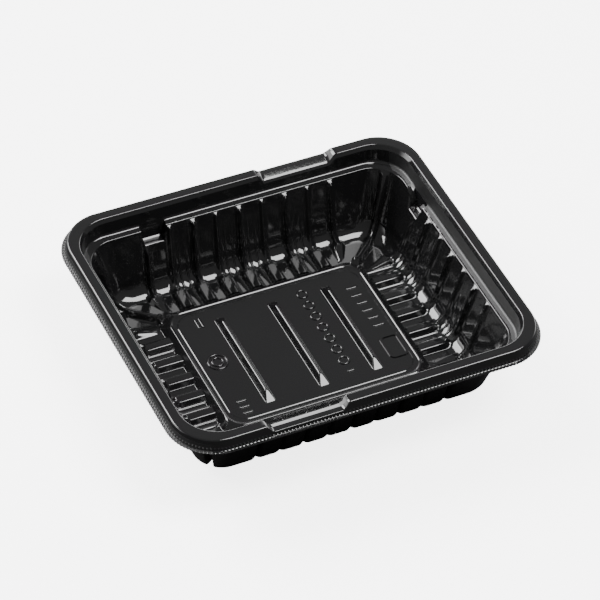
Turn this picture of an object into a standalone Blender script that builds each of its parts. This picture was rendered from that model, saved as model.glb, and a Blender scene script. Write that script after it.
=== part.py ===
"""An empty bento tray: one piece of thin black plastic, formed as a single sheet.

The sheet is a loft of rings, from the trimmed lip of the rim down the ribbed wall, across the
pockets of the floor and up to the raised panel in the middle. Solidify gives it its thickness,
and three long ribs stand on the panel. Sizes are in millimetres, and depths are measured down
from the top of the flange. A half turn about the vertical axis maps the tray onto itself.
"""

import math
from collections import namedtuple

import bmesh
import bpy

MM = 0.001

# Driving dimensions
FLANGE_LENGTH = 180.0
FLANGE_WIDTH = 154.0
FLANGE_BAND = 4.3
FLANGE_CORNER = 20.0
SHEET = 0.6
TRAY_HEIGHT = 43.9

LIP_OUT = 3.25
LIP_DEPTH = 5.8
SKIRT_OUT = 1.7
SKIRT_DEPTH = 5.5

LEDGE_INSET = 6.25
LEDGE_DEPTH = 9.35
STEP_INSET = 8.8
STEP_DEPTH = 11.0

FOOT_RADIUS = 9.0
FOOT_CENTRE_X = 65.4
FOOT_CENTRE_Y = 52.4
WALL_DRAFT = math.radians(16.0)

PANEL_LENGTH = 98.8
PANEL_WIDTH = 74.4
PANEL_DEPTH = 39.9
PANEL_CORNER = 5.0
GROOVE_DEPTH = 41.0
GROOVE_EDGE = 0.8
GROOVE_OUT = 3.2
BAR_END_OUT = 3.9
POCKET_OUT = 5.1

# Ridges on the wall and the bars that they become on the floor
RIDGE_PITCH = 12.0
RIDGE_HALF = 2.75
RIDGES_LONG_SIDE = 9
RIDGES_SHORT_SIDE = 7
WALL_RIDGE = 2.4
FLOOR_BAR = 3.3
MINOR_RIDGE_SHARE = 0.56
CORNER_RIDGE_SHARE = 0.45
CORNER_STEPS = 6

# The lifting notch of each long side, along that side from its middle
NOTCH_TOP = (-53.4, -11.5)
NOTCH_BED = (-49.1, -15.7)
NOTCH_DEPTH = 3.2
NOTCH_BED_WIDTH = 2.8
NOTCH_BED_OUT = 1.0
NOTCH_INNER_DEPTH = 4.4

RIB_COUNT = 3
RIB_PITCH = 27.8
RIB_WIDTH = 5.5
RIB_CREST_WIDTH = 0.8
RIB_FOOT = (-30.0, 29.0)
RIB_CREST = (-20.5, 26.0)
RIB_HEIGHT = 1.2
RIB_ROOT = 0.35

HALF_X = FLANGE_LENGTH / 2
HALF_Y = FLANGE_WIDTH / 2
POCKET_DEPTH = TRAY_HEIGHT - SHEET
SIDE_NORMALS = ((1, 0), (0, 1), (-1, 0), (0, -1))

# One ring of the loft. ridge is the height of a ridge there and lean its direction, from level
# at 0 to straight up at 90 degrees. notch_drop and notch_out move the ring where the notch is.
Ring = namedtuple("Ring", "half_x half_y depth corner ridge lean notch_drop notch_out",
                  defaults=(0.0, 0.0, 0.0, 0.0))


def clear_objects():
    for item in list(bpy.data.objects):
        bpy.data.objects.remove(item, do_unlink=True)


def new_collection(name):
    collection = bpy.data.collections.new(name)
    bpy.context.scene.collection.children.link(collection)
    return collection


def gloss_black_plastic():
    material = bpy.data.materials.new("gloss_black_plastic")
    material.use_nodes = True
    shader = material.node_tree.nodes["Principled BSDF"]
    shader.inputs["Base Color"].default_value = (0.012, 0.012, 0.013, 1.0)
    shader.inputs["Roughness"].default_value = 0.16
    shader.inputs["Metallic"].default_value = 0.0
    return material


def rim_rings():
    """The lip, the skirt, the flange and the two steps inside it."""
    def rim(out, depth, corner, **notch):
        return Ring(HALF_X + out, HALF_Y + out, depth, corner, **notch)

    return [
        rim(LIP_OUT, LIP_DEPTH, FLANGE_CORNER + LIP_OUT),
        rim(SKIRT_OUT, SKIRT_DEPTH, FLANGE_CORNER + SKIRT_OUT),
        rim(0.0, 0.0, FLANGE_CORNER, notch_drop=NOTCH_DEPTH, notch_out=NOTCH_BED_OUT),
        rim(NOTCH_BED_OUT - NOTCH_BED_WIDTH, 0.0, FLANGE_CORNER - 1.0, notch_drop=NOTCH_DEPTH),
        rim(-FLANGE_BAND, 0.0, FLANGE_CORNER - 1.0, notch_drop=NOTCH_INNER_DEPTH),
        rim(-LEDGE_INSET, LEDGE_DEPTH, FLANGE_CORNER - 2.0),
    ]


def wall_rings():
    """The ribbed wall from the second step down to the middle of its lean."""
    top = Ring(HALF_X - STEP_INSET, HALF_Y - STEP_INSET, STEP_DEPTH, 15.5, WALL_RIDGE, 0.0)
    foot = foot_ring(WALL_DRAFT)
    middle = Ring((top.half_x + foot.half_x) / 2, (top.half_y + foot.half_y) / 2,
                  (top.depth + foot.depth) / 2, 13.0, WALL_RIDGE, WALL_DRAFT)
    return [top, middle]


def foot_ring(angle):
    """A ring on the round foot of the wall, `angle` below level as seen from its centre."""
    reach = FOOT_RADIUS * math.cos(angle)
    depth = POCKET_DEPTH - FOOT_RADIUS + FOOT_RADIUS * math.sin(angle)
    share = angle / math.radians(90.0)
    ridge = WALL_RIDGE + (FLOOR_BAR - WALL_RIDGE) * share
    corner = PANEL_CORNER + reach * 0.6
    return Ring(FOOT_CENTRE_X + reach, FOOT_CENTRE_Y + reach, depth, corner, ridge, angle)


def floor_rings():
    """The pockets with their bars, the groove round the panel and the panel's edge."""
    upright = math.radians(90.0)

    def floor(out, depth, corner, bar):
        return Ring(PANEL_LENGTH / 2 + out, PANEL_WIDTH / 2 + out, depth, corner, bar, upright)

    bar_top = POCKET_DEPTH - FLOOR_BAR
    return [
        floor(POCKET_OUT, POCKET_DEPTH, PANEL_CORNER, FLOOR_BAR),
        floor(BAR_END_OUT, GROOVE_DEPTH, PANEL_CORNER, GROOVE_DEPTH - bar_top),
        floor(GROOVE_OUT, GROOVE_DEPTH, PANEL_CORNER, 0.0),
        floor(GROOVE_EDGE, GROOVE_DEPTH, PANEL_CORNER, 0.0),
        floor(0.0, PANEL_DEPTH, PANEL_CORNER, 0.0),
    ]


def ridge_places(count):
    return [RIDGE_PITCH * (i - (count - 1) / 2) for i in range(count)]


def ridge_share(place, count):
    """Height of the ridges at a place along a side, as a share of a tall one."""
    share = 0.0
    for index, centre in enumerate(ridge_places(count)):
        is_tall = (index - (count - 1) // 2) % 2 == 0
        height = 1.0 if is_tall else MINOR_RIDGE_SHARE
        share = max(share, height * (1.0 - abs(place - centre) / RIDGE_HALF))
    return share


def notch_share(place):
    """1 on the bed of the notch, 0 clear of it, and even on the two ramps."""
    ramp_in = (place - NOTCH_TOP[0]) / (NOTCH_BED[0] - NOTCH_TOP[0])
    ramp_out = (NOTCH_TOP[1] - place) / (NOTCH_TOP[1] - NOTCH_BED[1])
    return max(0.0, min(1.0, ramp_in, ramp_out))


def side_places(side):
    """Places along one side where the loft has a column: ridges, and the notch's corners."""
    is_long = side % 2 == 1
    count = RIDGES_LONG_SIDE if is_long else RIDGES_SHORT_SIDE
    places = []
    for centre in ridge_places(count):
        places += [centre - RIDGE_HALF, centre, centre + RIDGE_HALF]
    if is_long:
        places += [*NOTCH_TOP, *NOTCH_BED]
    return sorted(places), count


def fitted_place(place, straight, reach):
    """Keeps the ridges where they are, and draws the rest in on a ring with a shorter side."""
    inner = reach * min(1.0, (straight - 1.0) / reach)
    if abs(place) <= reach:
        return place * inner / reach
    furthest = abs(NOTCH_TOP[0])
    outer = min(furthest, straight - 0.4)
    beyond = (abs(place) - reach) / (furthest - reach)
    return math.copysign(inner + beyond * (outer - inner), place)


def ring_points(ring):
    """Points of one ring, in order round the tray, each at the same column on every ring."""
    points = []
    for side, normal in enumerate(SIDE_NORMALS):
        onward = SIDE_NORMALS[(side + 1) % 4]
        is_long = side % 2 == 1
        across = ring.half_y if is_long else ring.half_x
        straight = (ring.half_x if is_long else ring.half_y) - ring.corner
        places, count = side_places(side)
        reach = ridge_places(count)[-1] + RIDGE_HALF
        for place in places:
            rise = ring.ridge * ridge_share(place, count)
            notch = notch_share(place) if is_long else 0.0
            out = across - rise * math.cos(ring.lean) + notch * ring.notch_out
            along = fitted_place(place, straight, reach)
            height = -ring.depth + rise * math.sin(ring.lean) - notch * ring.notch_drop
            points.append((out * normal[0] + along * onward[0],
                           out * normal[1] + along * onward[1], height))
        points += corner_points(ring, normal, onward, across - ring.corner, straight)
    return points


def corner_points(ring, normal, onward, across, along):
    """The arc from the end of one side to the start of the next, with its one slender ridge."""
    points = []
    for step in range(CORNER_STEPS + 1):
        angle = math.radians(90.0) * step / CORNER_STEPS
        is_ridge = 2 * step == CORNER_STEPS
        rise = CORNER_RIDGE_SHARE * ring.ridge if is_ridge else 0.0
        radius = ring.corner - rise * math.cos(ring.lean)
        out = across + radius * math.cos(angle)
        on = along + radius * math.sin(angle)
        height = -ring.depth + rise * math.sin(ring.lean)
        points.append((out * normal[0] + on * onward[0],
                       out * normal[1] + on * onward[1], height))
    return points


def build_sheet(material, collection):
    """The upper face of the sheet as a loft of rings, given its thickness downwards."""
    foot = [foot_ring(math.radians(angle)) for angle in (16.0, 45.0, 75.0, 90.0)]
    rings = rim_rings() + wall_rings() + foot + floor_rings()
    form = bmesh.new()
    previous = None
    for ring in rings:
        current = [form.verts.new((x * MM, y * MM, (z + TRAY_HEIGHT) * MM))
                   for x, y, z in ring_points(ring)]
        if previous:
            for i, vert in enumerate(current):
                after = (i + 1) % len(current)
                form.faces.new((previous[i], previous[after], current[after], vert))
        previous = current
    form.faces.new(previous)
    mesh = bpy.data.meshes.new("tray")
    form.to_mesh(mesh)
    form.free()
    mesh.materials.append(material)
    tray = bpy.data.objects.new("tray", mesh)
    collection.objects.link(tray)
    solidify = tray.modifiers.new("sheet", "SOLIDIFY")
    solidify.thickness = SHEET * MM
    solidify.offset = -1.0
    solidify.use_even_offset = True
    return tray


def build_ribs(material, collection):
    """Long low ribs on the panel, each a bar with sloped sides and ends."""
    base = TRAY_HEIGHT - PANEL_DEPTH - RIB_ROOT
    for i in range(RIB_COUNT):
        centre = RIB_PITCH * (i - (RIB_COUNT - 1) / 2)
        form = bmesh.new()
        bmesh.ops.create_cube(form, size=1.0)
        for vert in form.verts:
            is_crest = vert.co.z > 0
            width = RIB_CREST_WIDTH if is_crest else RIB_WIDTH
            ends = RIB_CREST if is_crest else RIB_FOOT
            height = RIB_ROOT + RIB_HEIGHT if is_crest else 0.0
            vert.co.x = (centre + math.copysign(width / 2, vert.co.x)) * MM
            vert.co.y = (ends[1] if vert.co.y > 0 else ends[0]) * MM
            vert.co.z = (base + height) * MM
        mesh = bpy.data.meshes.new(f"rib_{i + 1}")
        form.to_mesh(mesh)
        form.free()
        mesh.materials.append(material)
        rib = bpy.data.objects.new(f"rib_{i + 1}", mesh)
        rib.hide_render = True
        rib.display_type = "WIRE"
        collection.objects.link(rib)


def main():
    clear_objects()
    parts = new_collection("bento_tray")
    helpers = new_collection("joined_ribs")
    plastic = gloss_black_plastic()
    tray = build_sheet(plastic, parts)
    build_ribs(plastic, helpers)
    union = tray.modifiers.new("panel_ribs", "BOOLEAN")
    union.operation = "UNION"
    union.operand_type = "COLLECTION"
    union.collection = helpers
    union.solver = "EXACT"


main()
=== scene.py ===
"""Looks of an empty bento tray: the formed sheet, its rim, ribs and marks, and a plain studio.

The tray is a thin black sheet. Each part of it is drawn as one loop of edges that is extruded
again and again, each new loop being fitted to the next line of the tray's section, and the
sheet then gets its thickness. Lengths in the classes are in millimetres. Depths are measured
down from the top of the flange, and insets inwards from the flange's outer edge. A rounding is
given as a radius and a number of steps.
"""

import logging
import math
from dataclasses import dataclass, field
from enum import Enum
from typing import Callable, ClassVar, Iterable, NamedTuple, Sequence

import bmesh
import bpy
from mathutils import Matrix, Vector

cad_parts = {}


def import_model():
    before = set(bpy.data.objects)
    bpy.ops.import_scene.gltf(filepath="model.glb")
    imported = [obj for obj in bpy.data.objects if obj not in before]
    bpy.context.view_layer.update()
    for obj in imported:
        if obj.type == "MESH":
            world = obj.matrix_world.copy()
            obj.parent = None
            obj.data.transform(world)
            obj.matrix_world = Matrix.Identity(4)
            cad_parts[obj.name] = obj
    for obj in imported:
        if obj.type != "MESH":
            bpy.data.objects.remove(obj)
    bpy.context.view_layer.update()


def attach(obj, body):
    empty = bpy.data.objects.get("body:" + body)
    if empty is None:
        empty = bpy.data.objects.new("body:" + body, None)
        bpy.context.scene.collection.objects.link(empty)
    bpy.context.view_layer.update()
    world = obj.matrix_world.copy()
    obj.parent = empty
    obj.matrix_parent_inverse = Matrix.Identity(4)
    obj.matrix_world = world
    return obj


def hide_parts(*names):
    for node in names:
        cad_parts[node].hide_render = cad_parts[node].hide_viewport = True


LOG = logging.getLogger("bento_tray")
MM = 0.001
BODY = "root"
NODE = "tray"
QUARTER = math.pi / 2
SIDES = 4
WHITE = (1.0, 1.0, 1.0, 1.0)
FACE_WEIGHT = 80


def share_of(value: float, low: float, high: float) -> float:
    """Finds how far a value stands from a low end to a high one.

    Args:
        value: The value.
        low: Where the share is 0.
        high: Where the share is 1.

    Returns:
        The share, held from 0 to 1.
    """
    return max(0.0, min(1.0, (value - low) / (high - low)))


def eased(share: float) -> float:
    """Eases a share from 0 to 1 in and out."""
    return share * share * (3 - 2 * share)


# --------------------------------------------------------------------------- finishes

class Socket(Enum):
    """Kinds of socket that a shader node group can have."""

    NUMBER = "NodeSocketFloat"
    COLOUR = "NodeSocketColor"
    VECTOR = "NodeSocketVector"


def new_group(name: str, inputs: dict, outputs: dict) -> bpy.types.NodeTree:
    """Makes an empty shader node group.

    Args:
        name: The group's name.
        inputs: Socket kinds by input name.
        outputs: Socket kinds by output name.

    Returns:
        The group, with its input and output nodes placed.
    """
    group = bpy.data.node_groups.new(name, "ShaderNodeTree")
    for direction, sockets in (("INPUT", inputs), ("OUTPUT", outputs)):
        for label, kind in sockets.items():
            group.interface.new_socket(name=label, in_out=direction, socket_type=kind.value)
    group.nodes.new("NodeGroupInput")
    group.nodes.new("NodeGroupOutput")
    return group


def math_node(tree: bpy.types.NodeTree, operation: str, *values: object) -> bpy.types.NodeSocket:
    """Adds a math node.

    Args:
        tree: The node tree.
        operation: What the node does.
        values: Its inputs in order, each a socket to read or a number.

    Returns:
        The node's output.
    """
    node = tree.nodes.new("ShaderNodeMath")
    node.operation = operation
    for socket, value in zip(node.inputs, values):
        if isinstance(value, bpy.types.NodeSocket):
            tree.links.new(value, socket)
        else:
            socket.default_value = value
    return node.outputs[0]


def ramp_node(tree: bpy.types.NodeTree, source: bpy.types.NodeSocket, span: tuple,
              values: tuple, interpolation: str = "LINEAR") -> bpy.types.NodeSocket:
    """Adds a ramp from one value to another.

    Args:
        tree: The node tree.
        source: The socket that it reads.
        span: Where the ramp starts and ends.
        values: Its values there.
        interpolation: How it goes between them.

    Returns:
        The ramp's output.
    """
    ramp = tree.nodes.new("ShaderNodeMapRange")
    ramp.interpolation_type = interpolation
    ramp.inputs["From Min"].default_value, ramp.inputs["From Max"].default_value = span
    ramp.inputs["To Min"].default_value, ramp.inputs["To Max"].default_value = values
    tree.links.new(source, ramp.inputs["Value"])
    return ramp.outputs["Result"]


class FormingMarks:
    """Node group for what forming leaves on a sheet: slow waves, fine dimples and dull patches."""

    wave_detail: float = 1.5
    grain_detail: float = 3.0
    grain_share: float = 0.12

    def __init__(self) -> None:
        """Builds the group once, for every material that uses it."""
        number, colour, vector = Socket.NUMBER, Socket.COLOUR, Socket.VECTOR
        self.tree = new_group(
            "forming_marks",
            {"Place": vector, "Wave Size": number, "Grain Size": number, "Base": colour,
             "Lift": colour, "Smoothness": number, "Dulling": number},
            {"Colour": colour, "Roughness": number, "Height": number})
        self._wire()

    def _noise(self, scale_socket: str, detail: float) -> bpy.types.NodeSocket:
        """Adds a noise texture driven by one of the group's size inputs.

        Args:
            scale_socket: Name of the input that gives its scale.
            detail: Octaves of the noise.

        Returns:
            The noise.
        """
        nodes, links = self.tree.nodes, self.tree.links
        noise = nodes.new("ShaderNodeTexNoise")
        noise.inputs["Detail"].default_value = detail
        given = nodes["Group Input"]
        links.new(given.outputs["Place"], noise.inputs["Vector"])
        links.new(given.outputs[scale_socket], noise.inputs["Scale"])
        return noise.outputs["Fac"]

    def _wire(self) -> None:
        """Joins waves and grain into a height, a roughness and a colour."""
        tree, links = self.tree, self.tree.links
        given, result = tree.nodes["Group Input"].outputs, tree.nodes["Group Output"].inputs
        waves = self._noise("Wave Size", self.wave_detail)
        grain = self._noise("Grain Size", self.grain_detail)
        height = math_node(tree, "MULTIPLY_ADD", grain, self.grain_share, waves)
        links.new(height, result["Height"])
        dull = math_node(tree, "MULTIPLY_ADD", grain, given["Dulling"], given["Smoothness"])
        links.new(dull, result["Roughness"])
        tint = tree.nodes.new("ShaderNodeMix")
        tint.data_type = "RGBA"
        links.new(waves, tint.inputs["Factor"])
        links.new(given["Base"], tint.inputs["A"])
        links.new(given["Lift"], tint.inputs["B"])
        links.new(tint.outputs["Result"], result["Colour"])


@dataclass(frozen=True)
class BlackPlastic:
    """Glossy black formed plastic, with a dull haze on the ledge of the short sides."""

    name: str
    base: tuple = (0.0056, 0.0056, 0.0058, 1.0)
    lift: tuple = (0.0070, 0.0070, 0.0073, 1.0)
    smoothness: float = 0.05
    dulling: float = 0.05
    wave_size: float = 22.0
    grain_size: float = 900.0
    bump: float = 0.10
    bump_distance: float = 0.001
    ior: float = 1.55
    haze: float = 0.38
    haze_height: float = 0.0378
    haze_span: tuple = (0.0039, 0.0041)
    haze_ends: tuple = (0.0785, 0.0795)

    def material(self, marks: FormingMarks) -> bpy.types.Material:
        """Builds the material.

        Args:
            marks: The shared node group.

        Returns:
            The material.
        """
        made = bpy.data.materials.new(self.name)
        made.use_nodes = True
        nodes, links = made.node_tree.nodes, made.node_tree.links
        shader = nodes["Principled BSDF"]
        shader.inputs["IOR"].default_value = self.ior
        place = nodes.new("ShaderNodeTexCoord").outputs["Object"]
        group = nodes.new("ShaderNodeGroup")
        group.node_tree = marks.tree
        for label, value in (("Wave Size", self.wave_size), ("Grain Size", self.grain_size),
                             ("Base", self.base), ("Lift", self.lift),
                             ("Smoothness", self.smoothness), ("Dulling", self.dulling)):
            group.inputs[label].default_value = value
        bump = nodes.new("ShaderNodeBump")
        bump.inputs["Strength"].default_value = self.bump
        bump.inputs["Distance"].default_value = self.bump_distance
        roughness = self._hazed(made.node_tree, place, group.outputs["Roughness"])
        links.new(place, group.inputs["Place"])
        links.new(group.outputs["Colour"], shader.inputs["Base Color"])
        links.new(roughness, shader.inputs["Roughness"])
        links.new(group.outputs["Height"], bump.inputs["Height"])
        links.new(bump.outputs["Normal"], shader.inputs["Normal"])
        return made

    def _hazed(self, tree: bpy.types.NodeTree, place: bpy.types.NodeSocket,
               smooth: bpy.types.NodeSocket) -> bpy.types.NodeSocket:
        """Adds the haze of the ledge, which stays dull where the rest of the sheet is glossy.

        Args:
            tree: The material's node tree.
            place: The object coordinates.
            smooth: Roughness of the rest of the sheet.

        Returns:
            The roughness with the ledge's haze.
        """
        parts = tree.nodes.new("ShaderNodeSeparateXYZ")
        tree.links.new(place, parts.inputs["Vector"])
        level = math_node(tree, "SUBTRACT", parts.outputs["Z"], self.haze_height)
        away = math_node(tree, "ABSOLUTE", level)
        band = ramp_node(tree, away, self.haze_span, (self.haze, 0.0))
        out = math_node(tree, "ABSOLUTE", parts.outputs["X"])
        ends = ramp_node(tree, out, self.haze_ends, (0.0, 1.0))
        return math_node(tree, "MULTIPLY_ADD", band, ends, smooth)


@dataclass(frozen=True)
class PaleBoard:
    """Matt white board that the tray stands on."""

    name: str = "pale_board"
    colour: tuple = (0.86, 0.86, 0.86, 1.0)
    mottle_gain: float = 1.03
    mottle_size: float = 3.0
    bounced: tuple = (0.05, 0.05, 0.05, 1.0)
    glow: float = 4.0
    roughness: float = 0.9

    def material(self) -> bpy.types.Material:
        """Builds the material, with a faint mottle so that the board isn't one flat colour.

        Returns:
            The material.
        """
        made = bpy.data.materials.new(self.name)
        made.use_nodes = True
        nodes, links = made.node_tree.nodes, made.node_tree.links
        shader = nodes["Principled BSDF"]
        shader.inputs["Roughness"].default_value = self.roughness
        shader.inputs["Specular IOR Level"].default_value = 0.0
        shader.inputs["Emission Color"].default_value = WHITE
        place = nodes.new("ShaderNodeTexCoord")
        mottle = nodes.new("ShaderNodeTexNoise")
        mottle.inputs["Scale"].default_value = self.mottle_size
        tint, seen = nodes.new("ShaderNodeMix"), nodes.new("ShaderNodeMix")
        tint.data_type = seen.data_type = "RGBA"
        tint.inputs["A"].default_value = self.colour
        tint.inputs["B"].default_value = tuple(c * self.mottle_gain
                                               for c in self.colour[:3]) + (1.0,)
        links.new(place.outputs["Object"], mottle.inputs["Vector"])
        links.new(mottle.outputs["Fac"], tint.inputs["Factor"])
        in_view = nodes.new("ShaderNodeLightPath").outputs["Is Camera Ray"]
        seen.inputs["A"].default_value = self.bounced
        links.new(in_view, seen.inputs["Factor"])
        links.new(tint.outputs["Result"], seen.inputs["B"])
        links.new(seen.outputs["Result"], shader.inputs["Base Color"])
        lit = math_node(made.node_tree, "MULTIPLY", in_view, self.glow)
        links.new(lit, shader.inputs["Emission Strength"])
        return made


# --------------------------------------------------------------------------- shared shapes

class Line(NamedTuple):
    """One line round the tray, as its section shows it."""

    inset: float
    depth: float
    lean_in: float
    lean_up: float


class Bend(NamedTuple):
    """A corner of the section, rounded off with an arc of some steps."""

    inset: float
    depth: float
    radius: float = 0.0
    steps: int = 1


class Column(NamedTuple):
    """Where a column of the loft stands: along a side, beyond its ridges, or in a corner.

    The phase is the column's place in the knurl's repeat.
    """

    side: int
    place: float
    beyond: float = 0.0
    turn: float = -1.0
    phase: float = 0.0


class Spot(NamedTuple):
    """A point of the loft. Its place along the side is infinite in a corner."""

    column: Column
    line: Line
    place: float
    is_long: bool


def rounded_section(bends: Sequence[Bend]) -> list[Line]:
    """Rounds the corners of a section and finds which way its surface faces at each point.

    Args:
        bends: The corners, from the rim towards the middle of the tray.

    Returns:
        The points of the section, each with the inward and upward parts of its normal.
    """
    points: list[tuple[float, float]] = []
    for i, bend in enumerate(bends):
        if bend.radius <= 0 or i in (0, len(bends) - 1):
            points.append((bend.inset, bend.depth))
            continue
        here = Vector((bend.inset, bend.depth))
        back = (Vector(bends[i - 1][:2]) - here).normalized()
        ahead = (Vector(bends[i + 1][:2]) - here).normalized()
        half = back.angle(ahead) / 2
        reach = bend.radius / math.tan(half)
        centre = here + (back + ahead).normalized() * (bend.radius / math.sin(half))
        start = here + back * reach - centre
        sweep = math.pi - 2 * half
        turn = 1.0 if start.cross(here + ahead * reach - centre) > 0 else -1.0
        for step in range(bend.steps + 1):
            spin = Matrix.Rotation(turn * sweep * step / bend.steps, 2)
            points.append(tuple(centre + spin @ start))
    lines = []
    for i, point in enumerate(points):
        before = Vector(points[max(0, i - 1)])
        after = Vector(points[min(len(points) - 1, i + 1)])
        along = (after - before).normalized()
        lines.append(Line(point[0], point[1], along.y, along.x))
    return lines


@dataclass
class TrayPlan:
    """What the parts share: sides, corners, notches and ridges from above, and main depths."""

    half_long: float = 90.0
    half_short: float = 77.0
    height: float = 43.9
    sheet: float = 0.6
    split: float = 1.5
    floor_depth: float = 43.3
    panel_depth: float = 40.3
    pitch: float = 12.0
    ridge_half: float = 2.8
    bar_half: float = 4.1
    long_ridges: int = 9
    short_ridges: int = 7
    notch_top: tuple = (-53.4, -11.5)
    notch_bed: tuple = (-49.1, -15.7)
    recess_middle: tuple = (38.9, 43.6)
    recess_back: float = 4.8
    recess_mouth: float = 6.5
    recess_rule: tuple = ((6.25, 6.25, 9.2), (6.6, 6.5, 11.0), (7.1, 6.75, 16.5), (8.0, 7.0, 17.7),
                          (9.4, 7.8, 18.1), (9.55, 9.5, 18.25), (9.75, 10.8, 18.35),
                          (9.9, 11.3, 18.5), (10.15, 11.6, 19.0))
    beyond: tuple = (0.08, 0.2, 0.4, 0.6, 0.72, 0.84)
    corner_steps: int = 28
    widening: float = 1.75
    widening_span: tuple = (29.0, 36.0)
    corner_rule: tuple = ((-4.0, 24.0), (0.0, 20.0), (1.5, 18.5), (4.3, 18.2), (6.2, 17.0),
                          (9.5, 15.2), (15.9, 13.0), (20.5, 12.2), (24.6, 10.8), (30.0, 9.3),
                          (36.0, 8.4), (60.0, 8.0))
    normals: tuple = ((1, 0), (0, 1), (-1, 0), (0, -1))

    def across(self, inset: float, is_long: bool) -> float:
        """Distance from the middle of the tray to the line at an inset, on one kind of side.

        Args:
            inset: The line's inset, as the short sides show it.
            is_long: Whether the side is a long one. Towards the panel its lines stand wider.

        Returns:
            The distance in millimetres.
        """
        if not is_long:
            return self.half_long - inset
        return self.half_short - inset + self.widening * eased(
            share_of(inset, *self.widening_span))

    def corner(self, inset: float) -> float:
        """Finds the radius of a line's corners.

        Args:
            inset: The line's inset.

        Returns:
            The radius in millimetres.
        """
        rule = self.corner_rule
        if inset <= rule[0][0]:
            return rule[0][1]
        for (low, first), (high, second) in zip(rule, rule[1:]):
            if inset <= high:
                return first + (second - first) * (inset - low) / (high - low)
        return rule[-1][1]

    def ridge_places(self, is_long: bool) -> list[float]:
        """Places of the ridges along a side, from its middle."""
        count = self.long_ridges if is_long else self.short_ridges
        return [self.pitch * (i - (count - 1) / 2) for i in range(count)]

    def is_tall(self, place: float) -> bool:
        """Whether the ridge at a place is one of the tall ones, which take turns with low ones."""
        return round(place / self.pitch) % 2 == 0

    def reach(self, is_long: bool) -> float:
        """How far the ridges reach along a side from its middle."""
        return self.ridge_places(is_long)[-1] + self.bar_half

    def recess_places(self, is_long: bool) -> list[float]:
        """Places along a side at which its stacking recess begins, turns and ends."""
        steps = (-self.recess_mouth, -self.recess_back, self.recess_back, self.recess_mouth)
        return [self.recess_middle[is_long] + step for step in steps]

    def recess(self, spot: Spot) -> tuple:
        """Shifts a point of the ledge into the stacking recess of its side.

        Args:
            spot: The point.

        Returns:
            How deep in the recess the place is, from 0 to 1, and how far the point moves
            outwards and up.
        """
        inset, depth = spot.line.inset, spot.line.depth
        away = abs(spot.place - self.recess_middle[spot.is_long])
        share = share_of(away, self.recess_mouth, self.recess_back)
        rule = self.recess_rule
        if share == 0 or not rule[0][0] <= inset <= rule[-1][0]:
            return share, 0.0, 0.0
        low, high = next(pair for pair in zip(rule, rule[1:]) if inset <= pair[1][0])
        along = (inset - low[0]) / (high[0] - low[0])
        new_inset, new_depth = (low[i] + (high[i] - low[i]) * along for i in (1, 2))
        return share, share * (inset - new_inset), share * (depth - new_depth)

    def notch(self, place: float) -> float:
        """Finds how deep in a long side's notch a place is.

        Args:
            place: The place along the side.

        Returns:
            The share, from 0 beside the notch to 1 on its bed.
        """
        top, bed = self.notch_top, self.notch_bed
        return eased(min(share_of(place, top[0], bed[0]), share_of(place, top[1], bed[1])))


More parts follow.
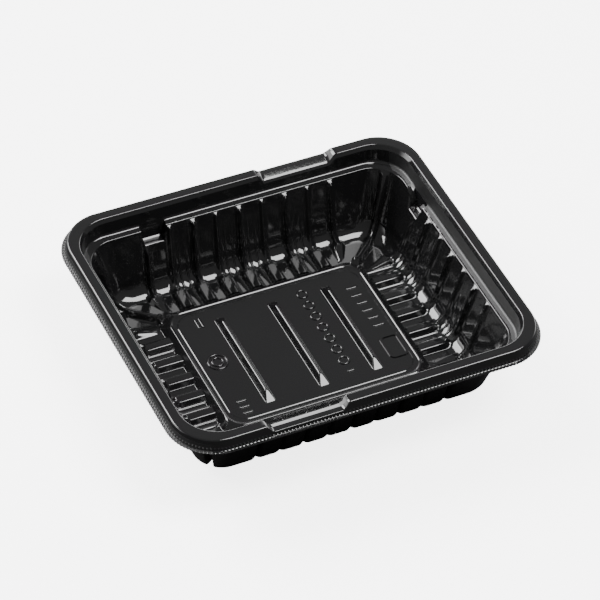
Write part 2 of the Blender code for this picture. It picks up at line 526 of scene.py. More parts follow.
@dataclass
class SheetLoft:
    """A strip of the sheet, made by extruding one loop of edges from line to line."""

    plan: TrayPlan
    name: str
    columns: list
    lines: list
    shift: Callable[[Spot], tuple]
    keep_places: bool = False
    end_gap: float = 0.5
    squeezed: float = 2.5

    def point(self, column: Column, line: Line) -> Vector:
        """Finds where a column crosses a line.

        Args:
            column: The column of the loft.
            line: The line of the section.

        Returns:
            The point, in metres, with its relief.
        """
        plan = self.plan
        normal = Vector(plan.normals[column.side])
        onward = Vector(plan.normals[(column.side + 1) % SIDES])
        is_long = column.side % 2 == 1
        across = plan.across(line.inset, is_long)
        radius = plan.corner(line.inset)
        straight = plan.across(line.inset, not is_long) - radius
        facing = normal
        if column.turn >= 0:
            angle = column.turn * QUARTER
            facing = normal * math.cos(angle) + onward * math.sin(angle)
            spot = normal * (across - radius) + onward * straight + facing * radius
            place = math.inf
        else:
            place = column.place if self.keep_places else self._along(column, straight, is_long)
            spot = normal * across + onward * place
        out, up = self.shift(Spot(column, line, place, is_long))
        spot = spot + facing * out
        return Vector((spot.x, spot.y, plan.height - line.depth + up)) * MM

    def _along(self, column: Column, straight: float, is_long: bool) -> float:
        """Place of a column along a side whose straight stretch may be shorter than its ridges.

        Args:
            column: The column.
            straight: Half of the straight stretch.
            is_long: Whether the side is a long one.

        Returns:
            The place. Only the columns near the stretch's end are drawn together.
        """
        full = self.plan.reach(is_long)
        reach = min(full, straight - self.end_gap)
        if column.beyond > 0:
            return math.copysign(reach + (straight - reach) * column.beyond, column.place)
        keep = min(reach, straight - self.squeezed)
        away = abs(column.place)
        if away > keep and full > keep:
            away = keep + (away - keep) * (reach - keep) / (full - keep)
        return math.copysign(away, column.place)

    def build(self, close: bool) -> bpy.types.Object:
        """Extrudes the loop along the section.

        Args:
            close: Whether the last loop is filled with a face.

        Returns:
            The open sheet.
        """
        bpy.ops.mesh.primitive_circle_add(vertices=len(self.columns),
                                          radius=self.plan.half_long * MM)
        piece = bpy.context.active_object
        piece.name = self.name
        bpy.ops.object.mode_set(mode="EDIT")
        form = bmesh.from_edit_mesh(piece.data)
        number = form.verts.layers.int.new("column")
        form.verts.ensure_lookup_table()
        self._number_round(form, number)
        self._fit(form, number, self.lines[0])
        for line in self.lines[1:]:
            bpy.ops.mesh.extrude_region_move()
            form = bmesh.from_edit_mesh(piece.data)
            self._fit(form, form.verts.layers.int["column"], line)
        bmesh.update_edit_mesh(piece.data)
        if close:
            bpy.ops.mesh.edge_face_add()
        bpy.ops.mesh.select_all(action="SELECT")
        bpy.ops.mesh.normals_make_consistent(inside=False)
        bpy.ops.object.mode_set(mode="OBJECT")
        widest = max(piece.data.polygons, key=lambda face: face.area * abs(face.normal.z))
        if widest.normal.z < 0:
            piece.data.flip_normals()
        return piece

    def _number_round(self, form: bmesh.types.BMesh, number: bmesh.types.BMLayerItem) -> None:
        """Numbers the first loop's points in order round the loop.

        Args:
            form: The mesh in edit mode.
            number: The layer that holds each point's column.
        """
        previous, current = None, form.verts[0]
        for index in range(len(self.columns)):
            current[number] = index
            onward = [edge.other_vert(current) for edge in current.link_edges]
            step = next(v for v in onward if v is not previous)
            previous, current = current, step

    def _fit(self, form: bmesh.types.BMesh, number: bmesh.types.BMLayerItem,
             line: Line) -> None:
        """Moves the selected loop onto a line.

        Args:
            form: The mesh in edit mode.
            number: The layer that holds each point's column.
            line: The line of the section.
        """
        for vert in form.verts:
            if vert.select:
                vert.co = self.point(self.columns[vert[number]], line)


def soft_min(value: float, bound: float, softness: float) -> float:
    """Finds the lower of two values, with the bend between them rounded off.

    Args:
        value: The value.
        bound: The other value.
        softness: How far on either side of the bend the rounding reaches.

    Returns:
        The lower value.
    """
    mixed = share_of(bound - value, -softness, softness)
    return bound + (value - bound) * mixed - softness * mixed * (1 - mixed)


def soft_clamp(value: float, top: float, upper: float, lower: float) -> float:
    """Holds a value between 0 and a top, with both bends rounded off.

    Args:
        value: The value.
        top: The upper bound.
        upper: How far below the top the rounding starts.
        lower: How far above 0 the rounding starts.

    Returns:
        The value held between the bounds.
    """
    return -soft_min(-soft_min(value, top, upper), 0.0, lower)


def even_columns(plan: TrayPlan, spacing: tuple, extra: Sequence = ((), ())) -> list[Column]:
    """Sets columns right round the tray, evenly spaced along each side.

    Args:
        plan: The tray's plan.
        spacing: Distance between columns on the short sides and on the long ones.
        extra: Places of further columns on the short sides and on the long ones.

    Returns:
        The columns in order.
    """
    made = []
    for side in range(SIDES):
        is_long = side % 2 == 1
        reach = plan.reach(is_long)
        count = round(2 * reach / spacing[is_long])
        places = {round(-reach + 2 * reach * i / count, 2) for i in range(count + 1)}
        places |= {round(place, 2) for place in extra[is_long] if abs(place) < reach}
        made += side_columns(plan, side, sorted(places))
    return made


def side_columns(plan: TrayPlan, side: int, places: Sequence[float]) -> list[Column]:
    """Sets the columns of one side and of the corner that follows it.

    Args:
        plan: The tray's plan.
        side: The side's number.
        places: Places of the columns along its ridged stretch.

    Returns:
        The columns in order.
    """
    made = [Column(side, -1.0, share) for share in (1.0, *reversed(plan.beyond))]
    made += [Column(side, place) for place in places]
    made += [Column(side, 1.0, share) for share in plan.beyond]
    made += [Column(side, 0.0, turn=step / plan.corner_steps)
             for step in range(plan.corner_steps)]
    return made


def select_only(pieces: Sequence[bpy.types.Object]) -> None:
    """Selects some objects alone.

    Args:
        pieces: The objects, the active one first.
    """
    bpy.ops.object.select_all(action="DESELECT")
    for piece in pieces:
        piece.select_set(True)
    bpy.context.view_layer.objects.active = pieces[0]


def apply_all(piece: bpy.types.Object) -> None:
    """Applies every modifier of a piece, from the first to the last.

    Args:
        piece: The piece.
    """
    select_only([piece])
    for modifier in list(piece.modifiers):
        bpy.ops.object.modifier_apply(modifier=modifier.name)


def join(pieces: Sequence[bpy.types.Object], name: str) -> bpy.types.Object:
    """Joins objects into one.

    Args:
        pieces: The objects.
        name: The name of the result.

    Returns:
        The joined object.
    """
    select_only(pieces)
    bpy.ops.object.join()
    pieces[0].name = name
    return pieces[0]


def thicken(piece: bpy.types.Object, sheet: float) -> None:
    """Gives an open sheet its thickness, downwards and outwards.

    Args:
        piece: The open sheet.
        sheet: The thickness in millimetres.
    """
    solidify = piece.modifiers.new("sheet", "SOLIDIFY")
    solidify.thickness = sheet * MM
    solidify.offset = -1.0
    solidify.use_even_offset = False
    apply_all(piece)


def shade(piece: bpy.types.Object, degrees: float) -> None:
    """Shades a piece smooth, with crisp edges past an angle and its wide faces kept flat.

    Args:
        piece: The piece.
        degrees: The angle.
    """
    select_only([piece])
    bpy.ops.object.shade_smooth_by_angle(angle=math.radians(degrees))
    weighted = piece.modifiers.new("weighted", "WEIGHTED_NORMAL")
    weighted.keep_sharp = True
    weighted.weight = FACE_WEIGHT
    apply_all(piece)


# --------------------------------------------------------------------------- the tray

@dataclass
class TrayPart:
    """What every part of the tray shares: the plan, and how its piece is dressed."""

    plan: TrayPlan
    crisp: ClassVar[float] = 40.0

    def dress(self, piece: bpy.types.Object, material: bpy.types.Material) -> None:
        """Gives a piece its material and hangs it on the body.

        Args:
            piece: The piece.
            material: Its material.
        """
        piece.data.materials.clear()
        piece.data.materials.append(material)
        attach(piece, BODY)
        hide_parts(NODE)


@dataclass
class FormedPart(TrayPart):
    """A part of the formed sheet: its section, its columns and its relief, lofted together."""

    name: ClassVar[str] = "formed"
    closed: ClassVar[bool] = False
    keep_places: ClassVar[bool] = False

    def section(self) -> list[Line]:
        """The part's section, which each part draws for itself."""
        raise NotImplementedError

    def columns(self) -> list[Column]:
        """The part's columns, which each part sets for itself."""
        raise NotImplementedError

    def shift(self, spot: Spot) -> tuple:
        """How far a point moves outwards and up, in millimetres: not at all on a plain part."""
        return 0.0, 0.0

    def build(self) -> bpy.types.Object:
        """Makes the part.

        Returns:
            The piece.
        """
        loft = SheetLoft(self.plan, self.name, self.columns(), self.section(), self.shift,
                         self.keep_places)
        piece = loft.build(self.closed)
        thicken(piece, self.plan.sheet)
        shade(piece, self.crisp)
        return piece


@dataclass
class Throat(FormedPart):
    """The stepped throat: the inner part of the flange, its lead-in, and half of the ledge."""

    name: ClassVar[str] = "throat"
    band: float = 4.42
    band_flat: float = 0.9
    band_round: tuple = (0.6, 6)
    lead_in: tuple = (5.6, 2.1)
    lead_in_round: tuple = (0.4, 4)
    ledge: tuple = (6.2, 9.35)
    ledge_round: tuple = (1.4, 7)
    joint: tuple = (8.0, 9.911)
    notch_drop: tuple = (3.2, 4.4)
    notch_flat: float = 1.8
    notch_foot: float = 0.2
    spacing: tuple = (6.0, 1.6)
    ramp_steps: int = 8

    def section(self) -> list[Line]:
        """Draws the section from the flange in to the middle of the ledge.

        Returns:
            The lines of the section.
        """
        return rounded_section([
            Bend(self.plan.split, 0.0),
            Bend(self.band - self.band_flat, 0.0),
            Bend(self.band, 0.0, *self.band_round),
            Bend(*self.lead_in, *self.lead_in_round),
            Bend(*self.ledge, *self.ledge_round),
            Bend(*self.joint),
        ])

    def columns(self) -> list[Column]:
        """Sets the columns, with further ones at the recesses' ends and on the notches' ramps.

        Returns:
            The columns in order.
        """
        ramps = [start + (end - start) * i / self.ramp_steps
                 for start, end in zip(self.plan.notch_top, self.plan.notch_bed)
                 for i in range(self.ramp_steps + 1)]
        return even_columns(self.plan, self.spacing, (self.plan.recess_places(False),
                                                      self.plan.recess_places(True) + ramps))

    def shift(self, spot: Spot) -> tuple:
        """Finds the relief of the throat at a point.

        Args:
            spot: The point.

        Returns:
            How far the point moves outwards and up: into a recess, or down with a notch.
        """
        if math.isinf(spot.place):
            return 0.0, 0.0
        share, out, up = self.plan.recess(spot)
        if share > 0 or not spot.is_long or spot.line.inset >= self.ledge[0]:
            return out, up
        fade = max(0.0, 1 - spot.line.depth / (self.ledge[1] - self.notch_foot))
        flat = share_of(spot.line.inset, self.notch_flat, self.band)
        drop = self.notch_drop[0] + (self.notch_drop[1] - self.notch_drop[0]) * flat
        return 0.0, -self.plan.notch(spot.place) * drop * fade


@dataclass
class Panel(FormedPart):
    """The raised floor panel: the slope up to it, its beaded edge, its crease and its flat top."""

    name: ClassVar[str] = "panel"
    closed: ClassVar[bool] = True
    foot_inset: float = 36.3
    edge_inset: float = 40.3
    edge_depth: float = 40.5
    edge_half: float = 0.75
    edge_drop: float = 0.1
    edge_rounds: tuple = ((0.3, 3), (0.6, 6), (0.6, 3))
    joint: float = 38.6
    bead: float = 0.42
    crease: float = 2.4
    crease_width: float = 0.4
    crease_rounds: tuple = ((0.3, 3), (0.2, 3))
    flat_start: float = 5.0
    spacing: tuple = (6.0, 6.0)

    def slope_depth(self, inset: float) -> float:
        """Finds the depth of the slope between the pockets and the panel.

        Args:
            inset: The inset.

        Returns:
            The depth there.
        """
        top = (self.edge_inset - self.edge_half, self.edge_depth + self.edge_drop)
        share = (inset - self.foot_inset) / (top[0] - self.foot_inset)
        return self.plan.floor_depth + (top[1] - self.plan.floor_depth) * share

    def section(self) -> list[Line]:
        """Draws the section from the slope in to the flat top.

        Returns:
            The lines of the section.
        """
        edge, crease = self.edge_inset, self.edge_inset + self.crease
        return rounded_section([
            Bend(self.joint, self.slope_depth(self.joint)),
            Bend(edge - self.edge_half, self.edge_depth + self.edge_drop, *self.edge_rounds[0]),
            Bend(edge, self.edge_depth - self.bead, *self.edge_rounds[1]),
            Bend(edge + self.edge_half, self.edge_depth, *self.edge_rounds[2]),
            Bend(crease, self.edge_depth, *self.crease_rounds[0]),
            Bend(crease + self.crease_width, self.plan.panel_depth, *self.crease_rounds[1]),
            Bend(edge + self.flat_start, self.plan.panel_depth),
        ])

    def columns(self) -> list[Column]:
        """The columns, evenly spaced."""
        return even_columns(self.plan, self.spacing)


@dataclass
class Basin(FormedPart):
    """The inside of the tray below its throat: the ridged wall, its foot and the pockets."""

    throat: Throat
    panel: Panel
    name: ClassVar[str] = "basin"
    brow: tuple = (9.5, 10.38)
    brow_round: tuple = (0.5, 4)
    brow_rows: tuple = ((0.12, 0.5), (0.24, 1.0), (0.37, 1.5), (0.6, 2.5), (3.0, 12.5))
    foot_centre: float = 24.6
    foot_radius: float = 9.0
    foot_steps: int = 11
    floor_row: float = 3.5
    groove_round: tuple = (0.45, 3)
    bar_end: float = 37.0
    bar_rows: tuple = (-0.3, 0.0, 0.2, 0.4)
    bar_tail: tuple = (0.1, 0.25)
    bar_height: float = 2.5
    bar_top: float = 2.2
    bar_foot: float = 3.85
    bar_span: tuple = (21.2, 24.6)
    bar_upright: float = 1.0
    last_bar: tuple = (25.0, 30.0)
    recess_foot: float = 10.6
    foot_softness: float = 0.2
    crest_softness: float = 0.55
    ridge: float = 2.4
    low_share: float = 0.56
    shoulder_share: float = 0.45
    crest_half: float = 1.35
    facet_slope: float = 1.15
    ridge_start: float = 0.3
    fine_ridge: float = 0.42
    fine_half: float = 0.72
    fine_place: float = 1.8
    fine_rise: tuple = (20.0, 28.0)
    long_fine: tuple = (-30.0, -6.0, 6.0, 30.0)
    short_fine: tuple = (-18.0, 18.0, 30.0)
    corner_ridge: float = 3.1
    corner_ridge_half: float = 2.0
    corner_rise: float = 6.0
    across_ridge: tuple = (0.0, 0.4, 0.8, 1.3, 1.75, 2.1, 2.4, 2.8, 3.4, 3.8, 4.1)
    across_fine: tuple = (0.0, 0.2, 0.42, 0.7)
    across_pocket: float = 1.0

    def section(self) -> list[Line]:
        """Draws the section from the ledge in to the slope of the panel.

        Returns:
            The lines of the section.
        """
        panel, brow = self.panel, self.brow
        slope = [self.bar_end + row for row in self.bar_rows] + [panel.joint]
        return rounded_section([
            Bend(*self.throat.joint),
            Bend(*brow, *self.brow_round),
            *(Bend(brow[0] + step, brow[1] + drop) for step, drop in self.brow_rows),
            Bend(self._foot_inset(), self.plan.floor_depth, self.foot_radius, self.foot_steps),
            Bend(panel.foot_inset - self.floor_row, self.plan.floor_depth),
            Bend(panel.foot_inset, self.plan.floor_depth, *self.groove_round),
            *(Bend(inset, panel.slope_depth(inset)) for inset in slope),
        ])

    def _foot_inset(self) -> float:
        """Finds the corner that the wall and the floor would make without their rounding.

        Returns:
            The corner's inset.
        """
        drop = self.plan.floor_depth - self.foot_radius - self.brow[1]
        run = self.foot_centre - self.brow[0]
        lean = math.atan2(run, drop) - math.asin(self.foot_radius / math.hypot(drop, run))
        return self.brow[0] + (self.plan.floor_depth - self.brow[1]) * math.tan(lean)

    def columns(self) -> list[Column]:
        """Sets the columns, close together where the ridges are.

        Returns:
            The columns in order.
        """
        made = []
        for side in range(SIDES):
            made += side_columns(self.plan, side, self._places(side % 2 == 1))
        return made

    def _places(self, is_long: bool) -> list[float]:
        """Finds the places of the columns along the ridged stretch of a side.

        Args:
            is_long: Whether the side is a long one.

        Returns:
            The places in order.
        """
        ridges = self.plan.ridge_places(is_long)
        around = [(ridge, self.across_ridge) for ridge in ridges]
        places = set()
        for left, right in zip(ridges, ridges[1:]):
            middle = (left + right) / 2
            places.add(middle)
            if self._is_fine(middle, is_long):
                around += [(middle - self.fine_place, self.across_fine),
                           (middle + self.fine_place, self.across_fine)]
            else:
                around.append((middle, (self.across_pocket,)))
        for centre, offsets in around:
            for offset in offsets:
                places |= {round(centre - offset, 3), round(centre + offset, 3)}
        reach = self.plan.reach(is_long)
        places |= {place for place in self.plan.recess_places(is_long) if place < reach}
        return sorted(places)

    def _is_fine(self, middle: float, is_long: bool) -> bool:
        """Whether the pocket with its middle at a place has the fine double ridges."""
        return middle in (self.long_fine if is_long else self.short_fine)

    def _ridge_height(self, place: float, is_long: bool) -> float:
        """Finds the height of the ridges, each with wide shoulders and a narrow crest.

        Args:
            place: The place along the side.
            is_long: Whether the side is a long one.

        Returns:
            The height in millimetres.
        """
        centre = min(self.plan.ridge_places(is_long), key=lambda ridge: abs(place - ridge))
        away = abs(place - centre)
        if away >= self.plan.ridge_half:
            return 0.0
        full = self.ridge if self.plan.is_tall(centre) else self.ridge * self.low_share
        shoulder = (1 - (away / self.plan.ridge_half) ** 2) ** 2
        crest = max(0.0, 1 - (away / self.crest_half) ** 2) ** 2
        return full * (self.shoulder_share * shoulder + (1 - self.shoulder_share) * crest)

    def _bar_profile(self, place: float, is_long: bool) -> float:
        """Finds the height of the floor's bars, which have flat tops and steep flanks.

        Args:
            place: The place along the side.
            is_long: Whether the side is a long one.

        Returns:
            The height in millimetres.
        """
        nearest = min(abs(place - ridge) for ridge in self.plan.ridge_places(is_long))
        rise = (self.bar_foot - nearest) / (self.bar_foot - self.bar_top) * self.bar_height
        return soft_clamp(rise, self.bar_height, self.crest_softness, self.foot_softness)

    def _fine_height(self, place: float, is_long: bool) -> float:
        """Finds the height of the fine ridges.

        Args:
            place: The place along the side.
            is_long: Whether the side is a long one.

        Returns:
            The height in millimetres.
        """
        middle = (math.floor(place / self.plan.pitch) + 0.5) * self.plan.pitch
        if abs(place) > self.plan.reach(is_long) or not self._is_fine(middle, is_long):
            return 0.0
        away = abs(abs(place - middle) - self.fine_place)
        return self.fine_ridge * max(0.0, 1 - (away / self.fine_half) ** 2) ** 2

    def _corner_height(self, spot: Spot, below: float) -> float:
        """Finds the height of the slender ridge up the middle of a corner.

        Args:
            spot: The point.
            below: How far it is below the top of the ridges.

        Returns:
            The height in millimetres.
        """
        away = abs(spot.column.turn - 0.5) * QUARTER * self.plan.corner(spot.line.inset)
        round_top = math.sqrt(max(0.0, 1 - (away / self.corner_ridge_half) ** 2))
        return self.corner_ridge * round_top * share_of(below, 0.0, self.corner_rise)

    def _side_height(self, spot: Spot, below: float) -> float:
        """Finds the height of a side's ridges, bars and fine ridges together.

        Args:
            spot: The point.
            below: How far it is below the top of the ridges.

        Returns:
            The height in millimetres.
        """
        line, place, is_long = spot.line, spot.place, spot.is_long
        height = min(self._ridge_height(place, is_long), max(0.0, below) * self.facet_slope)
        share = share_of(line.inset, *self.bar_span)
        height += (self._bar_profile(place, is_long) - height) * share
        if abs(place) > self.plan.ridge_places(is_long)[-1] - self.plan.pitch / 2:
            height *= 1 - share_of(line.inset, *self.last_bar)
        return height + self._fine_height(place, is_long) * share_of(below, *self.fine_rise)

    def shift(self, spot: Spot) -> tuple:
        """Finds the relief of the basin at a point.

        Args:
            spot: The point.

        Returns:
            How far the point moves outwards and up, in millimetres.
        """
        line = spot.line
        in_corner = math.isinf(spot.place)
        if not in_corner:
            share, out, up = self.plan.recess(spot)
            if share > 0 and line.inset < self.recess_foot:
                return out, up
        if line.inset < self.brow[0] or line.inset > self.bar_end + self.bar_tail[1]:
            return 0.0, 0.0
        below = line.depth - self.brow[1] - self.ridge_start
        height = (self._corner_height if in_corner else self._side_height)(spot, below)
        if not in_corner and line.inset > self.panel.foot_inset - self.bar_upright:
            standing = max(0.0, height - (self.plan.floor_depth - line.depth))
            return 0.0, standing if line.inset < self.bar_end + self.bar_tail[0] else 0.0
        return -height * line.lean_in, height * line.lean_up


@dataclass
class Rim(FormedPart):
    """The outside of the flange, the flared skirt and the knurled, trimmed lip."""

    name: ClassVar[str] = "rim"
    crisp: ClassVar[float] = 32.0
    keep_places: ClassVar[bool] = True
    edge_out: float = 0.45
    edge_round: tuple = (0.9, 7)
    lip_out: float = 3.25
    lip_depth: float = 5.8
    lip_drop: float = 0.1
    lip_row: float = 2.45
    lip_edge: float = 0.1
    skirt_out: float = 1.7
    skirt_depth: float = 5.5
    skirt_round: tuple = (0.35, 2)
    skirt_row: float = 4.4
    skirt_rows: tuple = (0.45, 0.0, -0.45)
    skirt_end: float = 0.3
    notch_drop: float = 3.2
    notch_out: float = 1.0
    notch_edge: tuple = (-0.2, 0.2)
    row_width: float = 0.05
    tooth_pitch: float = 1.8
    tooth_height: float = 0.45
    tooth_cut: float = 0.12
    steps_a_tooth: int = 5
    skirt_steps: tuple = (1, 2)
    lip_steps: tuple = (3, 4)

    def section(self) -> list[Line]:
        """Draws the section from the trimmed lip in to the flange.

        Returns:
            The lines of the section.
        """
        lean = (self.skirt_out - self.edge_out) / self.skirt_depth
        rows = [self.skirt_row + row for row in self.skirt_rows]
        return rounded_section([
            Bend(-self.lip_out, self.lip_depth),
            Bend(-self.lip_row, self.lip_depth - self.lip_drop),
            Bend(-self.skirt_out, self.skirt_depth, *self.skirt_round),
            *(Bend(-self.edge_out - lean * depth, depth) for depth in rows),
            Bend(-self.edge_out, 0.0, *self.edge_round),
            Bend(self.plan.split, 0.0),
        ])

    def columns(self) -> list[Column]:
        """Sets the columns evenly, so that each tooth of the knurl has its share.

        Returns:
            The columns in order.
        """
        made = []
        corner = self.plan.corner(0.0)
        spacing = self.tooth_pitch / self.steps_a_tooth
        turns = round((corner + self.lip_out) * QUARTER / spacing)
        for side in range(SIDES):
            half = self.plan.half_long if side % 2 == 1 else self.plan.half_short
            straight = half - corner
            count = round(2 * straight / spacing)
            made += [Column(side, -straight + 2 * straight * i / count) for i in range(count)]
            made += [Column(side, 0.0, turn=i / turns) for i in range(turns)]
        return [column._replace(phase=i / self.steps_a_tooth)
                for i, column in enumerate(made)]

    def shift(self, spot: Spot) -> tuple:
        """Finds the relief of the rim at a point.

        Args:
            spot: The point.

        Returns:
            How far the point moves outwards and up, in millimetres.
        """
        out, up = self._knurl(spot.column, spot.line)
        if spot.is_long and not math.isinf(spot.place):
            share = self.plan.notch(spot.place)
            rise = max(0.0, 1 - spot.line.depth / self.skirt_depth)
            inner = share_of(spot.line.inset, *self.notch_edge)
            out += share * self.notch_out * rise * (1 - inner)
            up -= share * self.notch_drop * rise
        return out, up

    def _knurl(self, column: Column, line: Line) -> tuple:
        """Finds the relief of the knurl: beads on the lip and on the skirt that take turns.

        Args:
            column: The column of the loft.
            line: The line of the section.

        Returns:
            How far the point moves outwards and up, in millimetres.
        """
        step = round(column.phase * self.steps_a_tooth) % self.steps_a_tooth
        if line.depth < self.skirt_depth - self.skirt_end:
            on_row = abs(line.depth - self.skirt_row) < self.row_width
            return self.tooth_height * (on_row and step in self.skirt_steps), 0.0
        on_row = abs(line.inset + self.lip_row) < self.row_width and step in self.lip_steps
        on_edge = line.inset < -self.lip_out + self.lip_edge and step == 0
        return -self.tooth_cut * on_edge, self.tooth_height * on_row


@dataclass
class PanelRibs(TrayPart):
    """Three long low ribs on the floor panel, each a soft hip roof."""

    crisp: ClassVar[float] = 60.0
    clearance: float = 0.01
    sheet: float = 0.3
    count: int = 3
    pitch: float = 27.68
    offset: float = 1.15
    rise: float = 3.0
    crest_radius: float = 1.05
    foot_radius: float = 0.45
    lean: float = 58.0
    front: tuple = (-24.7, -29.9)
    back: tuple = (23.8, 28.3)
    softness: float = 0.6
    margins: tuple = (0.1, 0.2)
    steps: tuple = (40, 130)

    def height(self, across: float, along: float) -> float:
        """Height of a rib's surface above the panel, with a sloping face at either end.

        Args:
            across: Distance from the rib's middle line.
            along: Place along the rib.

        Returns:
            The height in millimetres.
        """
        height = self._profile(abs(across))
        for top, foot in (self.front, self.back):
            face = max(0.0, self.rise * (foot - along) / (foot - top))
            height = soft_min(height, face, self.softness)
        return max(0.0, height)

    def _profile(self, away: float) -> float:
        """Finds the height of the section: a round crest, a straight side and a round foot.

        Args:
            away: Distance from the rib's middle line.

        Returns:
            The height in millimetres.
        """
        lean = math.radians(self.lean)
        crest_end = self.crest_radius * math.sin(lean)
        crest_low = self.rise - self.crest_radius * (1 - math.cos(lean))
        foot_end = self._half_width()
        foot_start = foot_end - self.foot_radius * math.sin(lean)
        if away < crest_end:
            return self.rise - self.crest_radius + math.sqrt(self.crest_radius ** 2 - away ** 2)
        if away < foot_start:
            return crest_low - (away - crest_end) * math.tan(lean)
        if away < foot_end:
            return self.foot_radius - math.sqrt(self.foot_radius ** 2 - (foot_end - away) ** 2)
        return 0.0

    def _half_width(self) -> float:
        """Finds half of the rib's width, its foot included.

        Returns:
            The half width in millimetres.
        """
        lean = math.radians(self.lean)
        radii = self.crest_radius + self.foot_radius
        drop = self.rise - radii * (1 - math.cos(lean))
        return radii * math.sin(lean) + drop / math.tan(lean)

    def build(self) -> bpy.types.Object:
        """Makes the three ribs as one piece.

        Returns:
            The piece.
        """
        ribs = []
        level = self.plan.height - self.plan.panel_depth + self.clearance
        half = self._half_width() + self.margins[0]
        front, back = self.front[1] - self.margins[1], self.back[1] + self.margins[1]
        for i in range(self.count):
            middle = self.offset + self.pitch * (i - (self.count - 1) / 2)
            bpy.ops.object.select_all(action="DESELECT")
            bpy.ops.mesh.primitive_grid_add(x_subdivisions=self.steps[0],
                                            y_subdivisions=self.steps[1], size=2)
            rib = bpy.context.active_object
            for vert in rib.data.vertices:
                across = vert.co.x * half
                along = front + (vert.co.y + 1) / 2 * (back - front)
                rise = level + self.height(across, along)
                vert.co = Vector((middle + across, along, rise)) * MM
            thicken(rib, self.sheet)
            ribs.append(rib)
        piece = join(ribs, "panel_ribs")
        shade(piece, self.crisp)
        return piece


@dataclass
class PanelMarks(TrayPart):
    """Plain raised marks on the floor panel: bars, rings and an empty rounded frame."""

    crisp: ClassVar[float] = 60.0
    level: float = 3.6
    line: float = 1.3
    rise: float = 0.55
    bar_edge: tuple = (0.52, 4)
    ring_segments: tuple = (36, 10)
    frame_segments: int = 6
    bars: tuple = ((-35.5, 28.6, 6.5, 90.0), (-37.6, 28.6, 6.5, 90.0), (-39.2, -24.6, 5.0, 0.0),
                   (-39.2, -28.4, 5.0, 0.0), (-39.2, -32.2, 5.0, 0.0), (16.4, -26.0, 3.6, 0.0),
                   (40.4, 23.0, 5.6, 0.0), (40.6, 17.6, 5.6, 0.0), (40.9, 12.2, 5.6, 0.0),
                   (41.1, 6.8, 5.6, 0.0), (41.4, 1.4, 5.6, 0.0), (41.7, -4.0, 5.6, 0.0))
    rings: tuple = ((16.9, 28.0, 2.4), (16.8, 20.2, 2.4), (16.7, 12.4, 2.4), (16.6, 4.6, 2.4),
                    (16.5, -3.2, 2.4), (16.4, -11.0, 2.4), (16.3, -18.8, 2.4),
                    (-38.9, 2.4, 4.6), (-38.9, 2.4, 2.6))
    frame: tuple = (42.3, -19.0, 9.8, 15.0, 2.6)

    def build(self) -> bpy.types.Object:
        """Makes the marks as one piece.

        Returns:
            The piece.
        """
        marks = [self._bar(*bar) for bar in self.bars]
        marks += [self._ring(*ring) for ring in self.rings]
        marks.append(self._frame(*self.frame))
        piece = join(marks, "panel_marks")
        bpy.ops.object.transform_apply(location=True, rotation=True, scale=True)
        shade(piece, self.crisp)
        return piece

    def _place(self, mark: bpy.types.Object, x: float, y: float, degrees: float = 0.0) -> None:
        """Turns a mark and puts it in its place on the panel.

        Args:
            mark: The mark, drawn round the origin.
            x: Place across the panel.
            y: Place along the ribs.
            degrees: How far it is turned.
        """
        turned = Matrix.Rotation(math.radians(degrees), 4, "Z")
        mark.data.transform(Matrix.Translation(Vector((x, y, self.level)) * MM) @ turned)

    def _bar(self, x: float, y: float, length: float, degrees: float) -> bpy.types.Object:
        """Makes a short raised bar with soft edges.

        Args:
            x: Place across the panel.
            y: Place along the ribs.
            length: The bar's length.
            degrees: How far it is turned from lying across the panel.

        Returns:
            The bar.
        """
        bpy.ops.object.select_all(action="DESELECT")
        bpy.ops.mesh.primitive_cube_add(size=1.0)
        bar = bpy.context.active_object
        bpy.ops.object.mode_set(mode="EDIT")
        bpy.ops.transform.resize(value=(length * MM, self.line * MM, 2 * self.rise * MM),
                                 center_override=(0, 0, 0))
        bpy.ops.mesh.bevel(offset=self.bar_edge[0] * MM, segments=self.bar_edge[1],
                           affect="EDGES")
        bpy.ops.object.mode_set(mode="OBJECT")
        self._place(bar, x, y, degrees)
        return bar

    def _ring(self, x: float, y: float, radius: float) -> bpy.types.Object:
        """Makes a raised ring, half sunk into the panel.

        Args:
            x: Place of its middle across the panel.
            y: Place of its middle along the ribs.
            radius: Its radius.

        Returns:
            The ring.
        """
        bpy.ops.object.select_all(action="DESELECT")
        bpy.ops.mesh.primitive_torus_add(major_radius=radius * MM, minor_radius=self.rise * MM,
                                         major_segments=self.ring_segments[0],
                                         minor_segments=self.ring_segments[1])
        ring = bpy.context.active_object
        self._place(ring, x, y)
        return ring

    def _frame(self, x: float, y: float, width: float, length: float,
               radius: float) -> bpy.types.Object:
        """Makes an empty rounded frame.

        Args:
            x: Place of its middle across the panel.
            y: Place of its middle along the ribs.
            width: Its width.
            length: Its length.
            radius: Radius of its corners.

        Returns:
            The frame.
        """
        bpy.ops.object.select_all(action="DESELECT")
        bpy.ops.mesh.primitive_plane_add(size=1.0)
        frame = bpy.context.active_object
        bpy.ops.object.mode_set(mode="EDIT")
        bpy.ops.transform.resize(value=(width * MM, length * MM, 1), center_override=(0, 0, 0))
        bpy.ops.mesh.bevel(offset=radius * MM, segments=self.frame_segments, affect="VERTICES")
        bpy.ops.mesh.inset(thickness=self.line * MM)
        bpy.ops.mesh.delete(type="FACE")
        bpy.ops.mesh.select_all(action="SELECT")
        bpy.ops.mesh.extrude_region_move(TRANSFORM_OT_translate={"value": (0, 0, self.rise * MM)})
        bpy.ops.mesh.select_all(action="SELECT")
        bpy.ops.mesh.normals_make_consistent(inside=False)
        bpy.ops.object.mode_set(mode="OBJECT")
        self._place(frame, x, y)
        return frame


# --------------------------------------------------------------------------- the studio

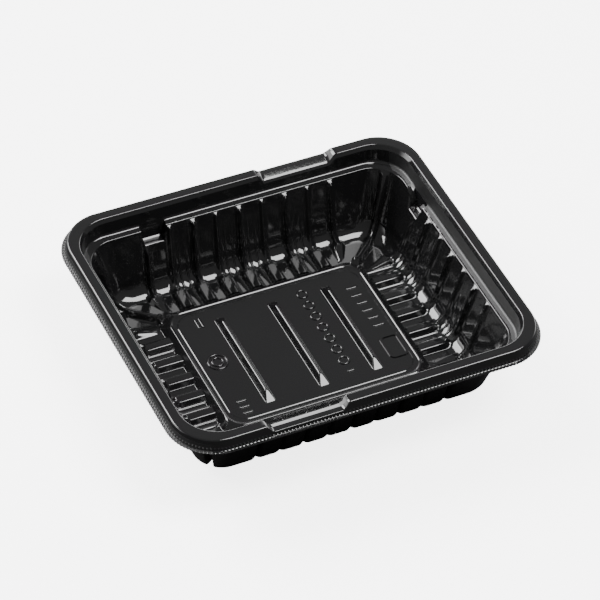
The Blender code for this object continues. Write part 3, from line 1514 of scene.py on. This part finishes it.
@dataclass
class Studio:
    """The board, the lamps, the room's light and the camera."""

    azimuth: float = -28.677
    elevation: float = 44.712
    roll: float = 4.6395
    aim: tuple = (-5.196, -10.763, 43.9)
    distance: float = 1642.97
    lens: float = 215.155
    sensor: float = 36.0
    clip: tuple = (0.05, 50.0)
    board_size: float = 12.0
    lamp_distance: float = 1.5
    lamps: list = field(default_factory=lambda: [
        ("left_softbox", (-0.43, 0.605, 0.67), (1.0, 0.62), 20.0),
        ("right_softbox", (0.36, -0.20, 0.90), (0.62, 0.86), 20.0),
    ])
    ceiling: float = 0.285
    wall: float = 6.5
    wall_span: tuple = (0.05, 0.75)
    wall_side: tuple = (-0.2, 0.4)

    def build(self, board: PaleBoard) -> None:
        """Sets up the board, the lamps, the room's light and the camera.

        Args:
            board: The board's finish.
        """
        bpy.ops.object.select_all(action="DESELECT")
        bpy.ops.mesh.primitive_plane_add(size=self.board_size, location=(0, 0, 0))
        floor = bpy.context.active_object
        floor.name = "board"
        floor.data.materials.append(board.material())
        for name, towards, size, radiance in self.lamps:
            self._lamp(name, Vector(towards).normalized(), size, radiance)
        self._room()
        self._camera()

    def _room(self) -> None:
        """Lights the room: a bright white wall behind the tray, below a dim ceiling."""
        world = bpy.data.worlds.new("studio_room")
        world.use_nodes = True
        tree = world.node_tree
        glow = tree.nodes["Background"]
        glow.inputs["Color"].default_value = WHITE
        towards = tree.nodes.new("ShaderNodeTexCoord")
        parts = tree.nodes.new("ShaderNodeSeparateXYZ")
        tree.links.new(towards.outputs["Generated"], parts.inputs["Vector"])
        upward = ramp_node(tree, parts.outputs["Z"], self.wall_span, (self.wall, 0.0),
                           "SMOOTHERSTEP")
        backward = ramp_node(tree, parts.outputs["Y"], self.wall_side, (0.0, 1.0),
                             "SMOOTHERSTEP")
        strength = math_node(tree, "MULTIPLY_ADD", upward, backward, self.ceiling)
        tree.links.new(strength, glow.inputs["Strength"])
        bpy.context.scene.world = world

    def _lamp(self, name: str, towards: Vector, size: tuple, radiance: float) -> None:
        """Hangs a softbox in a direction from the tray, facing it.

        Args:
            name: The lamp's name.
            towards: Unit vector from the tray to the lamp.
            size: Width and height in metres.
            radiance: Brightness of its face.
        """
        data = bpy.data.lights.new(name, "AREA")
        data.shape = "RECTANGLE"
        data.size, data.size_y = size
        data.energy = math.pi * size[0] * size[1] * radiance
        lamp = bpy.data.objects.new(name, data)
        lamp.location = towards * self.lamp_distance
        lamp.rotation_mode = "QUATERNION"
        lamp.rotation_quaternion = towards.to_track_quat("Z", "Y")
        bpy.context.scene.collection.objects.link(lamp)

    def _camera(self) -> None:
        """Places the camera by its azimuth, elevation, roll and aim."""
        turn, tilt, roll = (math.radians(a) for a in (self.azimuth, self.elevation, self.roll))
        back = Vector((math.sin(turn) * math.cos(tilt), -math.cos(turn) * math.cos(tilt),
                       math.sin(tilt)))
        right = Vector((math.cos(turn), math.sin(turn), 0.0))
        above = back.cross(right)
        rolled_right = right * math.cos(roll) + above * math.sin(roll)
        rolled_above = above * math.cos(roll) - right * math.sin(roll)
        data = bpy.data.cameras.new("camera")
        data.lens = self.lens
        data.sensor_width = self.sensor
        data.clip_start, data.clip_end = self.clip
        camera = bpy.data.objects.new("camera", data)
        turned = Matrix((rolled_right, rolled_above, back)).transposed()
        spot = (Vector(self.aim) + back * self.distance) * MM
        camera.matrix_world = Matrix.Translation(spot) @ turned.to_4x4()
        bpy.context.scene.collection.objects.link(camera)
        bpy.context.scene.camera = camera


# --------------------------------------------------------------------------- the order of work


def main() -> None:
    """Builds the tray and its studio in order."""
    logging.basicConfig(level=logging.INFO, format="%(name)s %(message)s")
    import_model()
    bpy.ops.object.select_all(action="DESELECT")
    plastic = BlackPlastic("black_plastic").material(FormingMarks())
    plan = TrayPlan()
    throat, panel = Throat(plan), Panel(plan)
    for part in (throat, Basin(plan, throat, panel), panel, Rim(plan), PanelRibs(plan),
                 PanelMarks(plan)):
        piece = part.build()
        part.dress(piece, plastic)
        piece.data.calc_loop_triangles()
        LOG.info("%s: %d triangles", piece.name, len(piece.data.loop_triangles))
    Studio().build(PaleBoard())


if __name__ == "__main__":
    main()
